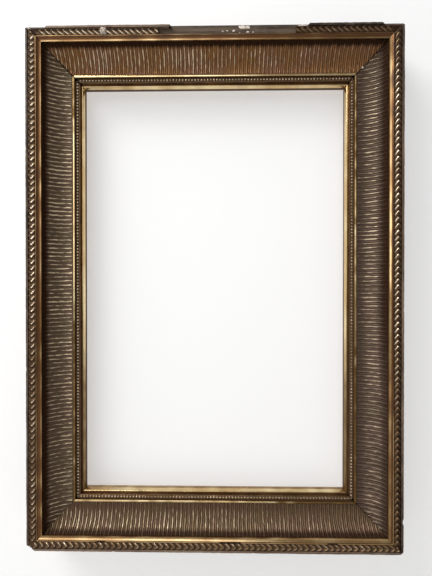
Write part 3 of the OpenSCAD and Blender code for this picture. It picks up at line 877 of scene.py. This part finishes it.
def slip(side, material):
    """The sloping slip at the opening, with a soft ridge, its outer flat darkened as painted shade, and
    its sight edge painted dark as shade.
    """
    sight_u = SLIP.u1 - SIGHT_BACK[side]
    ridge_u = sight_u - 2.3 * MM
    outline = rounded([
        (SLIP.u0, SLIP.v0, 0), (SLIP.u0, SLIP.v1 - MM, 0),
        (SLIP.u0 + 1.5 * MM, SLIP.v1 - 0.7 * MM, 0), (ridge_u, SLIP.v1, 1.5 * MM),
        (sight_u - 0.6 * MM, SLIP.v0 + 6.1 * MM, 0), (sight_u, SLIP.v0 + 4 * MM, 0.9 * MM),
        (sight_u, SLIP.v0, 0),
    ])

    def shape(side, t, u, v):
        wear_and_painted_light = varied(t, *SLIP_TONE_AND_FALLOFF[side]) + 0.025 * waves(63 + SIDES.index(side), 35 * MM, t)
        # Painted shade on the outer flat beside the step
        wear_and_painted_light = wear_and_painted_light - 0.5 * (1 - eased(u, ridge_u - 1.4 * MM, ridge_u - 0.4 * MM))
        # Painted shade on the face at the sight edge
        wear_and_painted_light = wear_and_painted_light - SIGHT_SHADE[side] * eased(u, sight_u - 0.6 * MM, sight_u - 0.2 * MM)
        uneven = 0.05 * MM * waves(64, 45 * MM, t) * (v > SLIP.v0 + MM)
        return t, u, v + uneven, np.clip(wear_and_painted_light, 0, 1)

    piece = sweep("gilt_slip_" + side, side, rows_of(side, 2 * MM), outline, shape)
    dressed(piece, "frame", "gilt", material, side + "_slip")


# Nicks in the outer arris of the edge strips: side, place along it, half length and depth
NICKS = (
    ("right", -345 * MM, 4 * MM, 1.3 * MM),
    ("right", 180 * MM, 2 * MM, 0.5 * MM),
    ("left", 120 * MM, 3 * MM, 0.5 * MM),
    ("left", -210 * MM, 2.5 * MM, 0.4 * MM),
    ("bottom", 60 * MM, 3 * MM, 0.4 * MM),
    ("bottom", -150 * MM, 2 * MM, 0.5 * MM),
    ("right", -30 * MM, 3 * MM, 0.4 * MM),
)
# Radius to which the outer corners of the edge strips are worn
CORNER_ROUND = {"bottom right": 8 * MM, "top left": 4 * MM}
# How far the left and the right strip stop short of the top corners, where the top strip is lost
LEFT_STRIP_LOSS = 2.4 * MM
RIGHT_STRIP_LOSS = 3.0 * MM


def strip_shape(tones):
    """An edge strip with worn arrises. tones(t) is how clean it is along its length."""

    def shape(side, t, u, v):
        inward = 0.12 * MM * (1 + waves(73, 90 * MM, t)) + 0.05 * MM * (1 + waves(74, 7 * MM, t, v))
        for nicked, at, half, depth in NICKS:
            if nicked == side:
                nick = depth * np.exp(-(((t - at) / half) ** 4))
                inward = inward + nick * eased(v, BED_V, STRIP.v1)
        outer = 1 - eased(u, STRIP.u0, STRIP.centre)
        lowered = v - 0.12 * MM * (1 + waves(75, 20 * MM, t))
        moved_v = np.where(v > BED_V + MM, lowered, v)
        clean = tones(t) + 0.25 * eased(v, STRIP.v1 - 1.2 * MM, STRIP.v1)
        worn_u = u + inward * outer
        for near, corner in zip((t + HALF[side], HALF[side] - t), CORNERS[side]):
            radius = CORNER_ROUND.get(corner, MM)
            past = np.clip(radius - near, 0, radius)
            worn_u = np.maximum(worn_u, radius - np.sqrt(radius**2 - past**2))
        return t, np.minimum(worn_u, STRIP.u1), moved_v, np.clip(clean, 0, 1)

    return shape


def strip_ends(side, u, v):
    """Ends of an edge strip at its mitres, cut back where the corner is worn round."""
    low, high = mitred(side, u, v)
    first, last = ((1 - math.sqrt(0.5)) * CORNER_ROUND.get(corner, MM) for corner in CORNERS[side])
    return np.maximum(low, first - HALF[side]), np.minimum(high, HALF[side] - last)


def strip_outline():
    soft = 0.7 * MM
    return rounded([
        (STRIP.u0, STRIP.v0, 0), (STRIP.u0, STRIP.v1, soft),
        (STRIP.u1, STRIP.v1, soft * 0.6), (STRIP.u1, STRIP.v0, 0),
    ])


def edge_strip(name, side, ends, tones, material, *nodes):
    piece = sweep(name, side, rows_of(side, 1.2 * MM), strip_outline(), strip_shape(tones), ends)
    dressed(piece, "frame", "edge_wood", material, *nodes)


def shortened(side, u, v):
    """Ends of the left or right edge strip, whose upper end is broken off just below the corner."""
    low, high = strip_ends(side, u, v)
    jag = 0.3 * MM * waves(77, 3 * MM, u, v) + 0.25 * (STRIP.u1 - u)
    if side == "left":
        return np.maximum(low, LEFT_STRIP_LOSS + jag - HALF[side]), high
    return low, np.minimum(high, HALF[side] - RIGHT_STRIP_LOSS - jag)


def slanted(start, stop):
    """Ends of a remnant of the top edge strip, cut aslant across it."""

    def ends(side, u, v):
        slant = STRIP_SLANT * (1 - u / STRIP.u1)
        jag = 0.35 * MM * waves(76, 4 * MM, u, v)
        return start + slant + jag, stop - slant + jag

    return ends


def crumb(name, x, z, v, width, height, thick, square, seed, material):
    """An irregular flake of gesso that lies on a level v over the back, round the point (x, z). square is
    2 for a round one and more for a squarish one."""
    turns = 28
    rings = 6
    angles = np.linspace(0, 2 * math.pi, turns, endpoint=False)
    cosine, sine = np.cos(angles), np.sin(angles)
    edge = (np.abs(cosine) ** square + np.abs(sine) ** square) ** (-1 / square)
    wavy = waves(seed, 1.9, cosine, sine) + waves(seed + 1, 0.7, cosine, sine) / 3
    edge = edge * (1 + 0.44 / square * wavy)
    mesh = bmesh.new()
    sunk = 0.15 * MM
    loops = []
    for k in range(rings + 1):
        share = 1 - k / rings
        lift = -sunk if k == 0 else thick * (1 - share**square * share**2)
        loop = []
        for a, e in zip(angles, edge):
            px = x + width / 2 * share * e * math.cos(a)
            pz = z + height / 2 * share * e * math.sin(a)
            bumpy = 0.18 * thick * float(waves(seed + 2, 2.5 * MM, px, pz)) if k else 0
            loop.append(mesh.verts.new((px, BACK_Y - v - lift - bumpy, pz)))
            if share == 0:
                break
        loops.append(loop)
    for outer, inner in zip(loops, loops[1:]):
        for i in range(turns):
            j = (i + 1) % turns
            if len(inner) == 1:
                mesh.faces.new((outer[i], outer[j], inner[0]))
            else:
                mesh.faces.new((outer[i], outer[j], inner[j], inner[i]))
    mesh.faces.new(loops[0])
    bmesh.ops.recalc_face_normals(mesh, faces=mesh.faces)
    data = bpy.data.meshes.new(name)
    mesh.to_mesh(data)
    mesh.free()
    data.shade_smooth()
    data.set_sharp_from_angle(angle=math.radians(50))
    piece = linked(name, data)
    dressed(piece, "frame", None, material)


# Flakes of gesso, in millimetres: x, z, level, width, height, thickness and squareness
FLAKES = (
    (-275.5, 783.4, 61.6, 4.6, 3.6, 2.0, 2.0),
    (228.3, 734.2, 34.6, 2.6, 2.8, 1.6, 2.0),
    (-163.9, 778.4, 59.5, 9.2, 9.4, 6.2, 6.0),
    (46.5, 784.7, 57.0, 17.0, 5.2, 0.9, 3.0),
    (30.0, 779.2, 57.0, 5.0, 3.2, 0.8, 2.0),
    (51.0, 777.4, 57.0, 4.6, 2.6, 0.8, 2.0),
    (20.5, 779.6, 57.0, 2.8, 2.0, 0.6, 2.0),
    (13.5, 778.8, 57.0, 3.4, 2.0, 0.6, 2.0),
    (39.0, 776.6, 57.0, 2.2, 1.6, 0.5, 2.0),
    (58.5, 777.2, 57.0, 2.6, 1.8, 0.5, 2.0),
    (133.0, 785.6, 57.0, 16.0, 3.6, 1.2, 2.5),
)


# Stage


def stage(name, corners, material):
    mesh = bpy.data.meshes.new(name)
    mesh.from_pydata(corners, [], [(0, 1, 2, 3)])
    mesh.materials.append(material)
    piece = linked(name, mesh)
    return piece


def wall_paint(name, colour, glow):
    """A matt wall that is clear from behind, with a glow for the rays that see it directly."""
    tree = Tree(name)
    paint = tree.add("BsdfDiffuse", {"Color": colour})
    kinds = ("Is Camera Ray", "Is Glossy Ray", "Is Transmission Ray")
    rays = [tree.add("LightPath", {}, output=kind) for kind in kinds]
    seen = tree.math("MAXIMUM", tree.math("MAXIMUM", rays[0], rays[1]), rays[2])
    light = tree.add("Emission", {"Color": (1.0, 1.0, 1.0, 1.0), "Strength": tree.scaled(seen, glow)})
    front = tree.add("AddShader", {0: paint, 1: light})
    behind = tree.add("NewGeometry", {}, output="Backfacing")
    clear = tree.add("BsdfTransparent", {})
    both = tree.add("MixShader", {0: behind, 1: front, 2: clear})
    tree.links.new(both, tree.nodes.new("ShaderNodeOutputMaterial").inputs["Surface"])
    return tree.material


def floor_paint(name, colour):
    tree = Tree(name)
    paint = tree.add("BsdfDiffuse", {"Color": colour})
    tree.links.new(paint, tree.nodes.new("ShaderNodeOutputMaterial").inputs["Surface"])
    return tree.material


def lamp(name, left, up, distance, size, share, behind=False):
    """A square soft lamp aimed at the middle of the frame, from so many degrees to the left and up. share
    is how much light it gives there, compared with a white sky of strength 1."""
    a = math.radians(left)
    b = math.radians(up)
    way = (-math.sin(a) * math.cos(b), -math.cos(a) * math.cos(b), math.sin(b))
    if behind:
        way = (way[0], -way[1], way[2])
    data = bpy.data.lights.new(name, "AREA")
    data.shape = "SQUARE"
    data.size = size
    data.energy = share * math.pi**2 * distance**2
    made = bpy.data.objects.new(name, data)
    middle = (0, 0, HEIGHT / 2)
    made.location = [m + distance * w for m, w in zip(middle, way)]
    made.rotation_mode = "QUATERNION"
    made.rotation_quaternion = Vector(way).to_track_quat("Z", "Y")
    bpy.context.scene.collection.objects.link(made)


def sky(strength):
    world = bpy.data.worlds.new("studio")
    world.use_nodes = True
    background = world.node_tree.nodes["Background"]
    background.inputs["Color"].default_value = (1.0, 1.0, 1.0, 1.0)
    background.inputs["Strength"].default_value = strength
    bpy.context.scene.world = world


def camera(at, lens, sensor, down, left):
    """The photograph's camera, which looks so many degrees down and to the left of straight back."""
    data = bpy.data.cameras.new("camera")
    data.sensor_width = sensor
    data.lens = lens
    made = bpy.data.objects.new("camera", data)
    made.location = at
    made.rotation_euler = (math.radians(90 - down), 0.0, math.radians(left))
    bpy.context.scene.collection.objects.link(made)
    bpy.context.scene.camera = made


# Making it

# Two tones of bronze for each fluting, lighter or darker by side as painted light and shade, how much its
# crests are rubbed, partly wear and partly painted highlight that differs by side, and how rough it is
fluting_bodies = {
    "bottom": (srgb(108, 86, 60), srgb(106, 80, 60), 0.64, 0.42),
    "right": (srgb(84, 68, 52), srgb(84, 64, 53), 0.55, 0.44),
    "top": (srgb(134, 93, 50), srgb(130, 90, 62), 0.85, 0.36),
    "left": (srgb(100, 84, 63), srgb(98, 76, 60), 1.0, 0.34),
}
compo_dirt_and_shade = srgb(44, 26, 13)
fluting_crest = srgb(212, 192, 158)
fluting_finishes = {
    side: bronzed_compo(
        "bronzed_fluting_" + side, body, ruddy, compo_dirt_and_shade, fluting_crest, rubbed, 0.68, rough)
    for side, (body, ruddy, rubbed, rough) in fluting_bodies.items()
}
leaf_finish = bronzed_compo(
    "bronzed_leaves", body=srgb(124, 98, 66), ruddy=srgb(122, 92, 64), groove=srgb(40, 25, 13),
    crest=srgb(250, 232, 204), rubbed=0.95, rub_from=0.6)
pearl_finish = bronzed_compo(
    "bronzed_pearls", body=srgb(140, 116, 88), ruddy=srgb(136, 108, 84), groove=compo_dirt_and_shade,
    crest=srgb(222, 202, 172), rubbed=0.8, rub_from=0.6)
hollow_finish = gilt(
    "old_gilding", gold=srgb(216, 186, 134), shade=srgb(164, 128, 80), toned=srgb(102, 68, 36),
    bole=srgb(56, 30, 15))
slip_finish = gilt(
    "slip_gilding", gold=srgb(236, 213, 164), shade=srgb(206, 174, 120), toned=srgb(112, 84, 42),
    bole=srgb(72, 46, 26))
edge_finish = stained_wood(
    "edge_strip_wood", pale=srgb(140, 120, 102), dark=srgb(92, 72, 56), grime=srgb(34, 24, 18))

for side in SIDES:
    gilt_moulding(side, hollow_finish)
    fluting(side, fluting_finishes[side])
    inner_fillet(side, slip_finish)
    pearl_strip(side, pearl_finish)
    gilt_step(side, hollow_finish)
    slip(side, slip_finish)

for side in ("bottom", "right", "left"):
    leaf_strip("leaves_" + side, side, mitred, leaf_finish, side + "_leaf_strip")
end = HALF["top"]
leaf_strip("leaves_top_left", "top", broken(-LEAF_LOSS[0], end, 81), leaf_finish, "top_leaf_strip")
leaf_strip("leaves_top_right", "top", broken(-end, -LEAF_LOSS[1], 82), leaf_finish, "top_leaf_strip")

# The ends of the edge strips and how clean they are along their length
TONES = {
    "bottom": (strip_ends, lambda t: 0.6 - 0.3 * eased(t, 100 * MM, 280 * MM)),
    "right": (shortened, lambda t: 0.32 - 0.24 * eased(np.abs(t), 200 * MM, 360 * MM)),
    "left": (shortened, lambda t: 0.12 - 0.12 * eased(-t, HALF["left"] - 12 * MM, HALF["left"] - 3 * MM)),
}
for side, (ends, tones) in TONES.items():
    edge_strip("edge_strip_" + side, side, ends, tones, edge_finish, side + "_edge_strip")
end = HALF["top"] - STRIP_CORNER_LOSS
start = -STRIP_LOSS[0]
edge_strip(
    "edge_strip_top_left", "top", slanted(start, end),
    lambda t: 0.85 * eased(t, start + 2 * MM, start + 6 * MM), edge_finish, "top_edge_strip")
edge_strip(
    "edge_strip_top_right", "top", slanted(-end, -STRIP_LOSS[1]),
    lambda t: 0 * t, edge_finish, "top_edge_strip")

white = gesso("broken_gesso")
for i, (*lengths, square) in enumerate(FLAKES):
    crumb(f"gesso_flake_{i + 1}", *(length * MM for length in lengths), square, 100 + 5 * i, white)

# Pine with its grain along X, for the bottom and the top, and along Z, for the left and the right
ALONG_X, ALONG_Z = 0, 2
raw = {
    axis: pine(
        f"raw_pine_{axis}", axis, pale=srgb(196, 160, 112), dark=srgb(150, 108, 64),
        stain=srgb(88, 60, 38), stained=0.35)
    for axis in (ALONG_X, ALONG_Z)
}
aged = {axis: moulding_pine(f"aged_pine_{axis}", axis) for axis in (ALONG_X, ALONG_Z)}
key = pine(
    "key_wood", ALONG_X, pale=srgb(150, 108, 66), dark=srgb(110, 74, 42),
    stain=srgb(70, 46, 30), stained=0.2)
brass = old_metal("old_brass", bright=srgb(186, 146, 78), tarnish=srgb(88, 64, 36), rough=0.3)
iron = old_metal("old_iron", bright=srgb(104, 98, 92), tarnish=srgb(58, 40, 30), rough=0.45)

for name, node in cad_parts.items():
    axis = ALONG_X if name.startswith(("bottom", "top")) else ALONG_Z
    if name.endswith("back_rail"):
        finish = raw[axis]
    elif name.endswith("cove_moulding"):
        finish = aged[axis]
    elif name.endswith("corner_key"):
        finish = key
    elif name.endswith(("strap", "ring")):
        finish = brass
    else:
        finish = iron
    node.data.materials.clear()
    node.data.materials.append(finish)

# Stage, light and camera

WALL_Y = BACK_Y + 14 * MM
WALL_TOP = 2.6
FLOOR_Z = -0.12
FLOOR_FRONT = -2.6
FLOOR_BACK = 2.2
LEFT, RIGHT = -2.2, 2.2
wall_corners = [
    (LEFT, WALL_Y, FLOOR_Z), (RIGHT, WALL_Y, FLOOR_Z), (RIGHT, WALL_Y, WALL_TOP), (LEFT, WALL_Y, WALL_TOP),
]
floor_corners = [(x, y, FLOOR_Z) for x, y in (
    (LEFT, FLOOR_FRONT), (RIGHT, FLOOR_FRONT), (RIGHT, FLOOR_BACK), (LEFT, FLOOR_BACK))]
wall = stage("wall", wall_corners, wall_paint("wall_paint", (0.52, 0.52, 0.52, 1.0), glow=0.44))
# The wall bounces no light onto the frame, and lets the light of the lamp behind it through
wall.visible_diffuse = False
wall.visible_shadow = False
stage("floor", floor_corners, floor_paint("floor_paint", (0.72, 0.71, 0.69, 1.0)))
sky(strength=0.32)
lamp("front_softbox", left=13.5, up=16.5, distance=2.28, size=1.4, share=0.24)
lamp("key_window", left=54, up=45.5, distance=2.4, size=1.4, share=1.0)
lamp("back_light", left=20, up=12, distance=2.4, size=1.2, share=0.45, behind=True)
camera((0.0151, -0.6675, 0.3999), lens=26.7, sensor=36.0, down=0.36, left=1.03)
bpy.context.scene.view_settings.view_transform = "Standard"
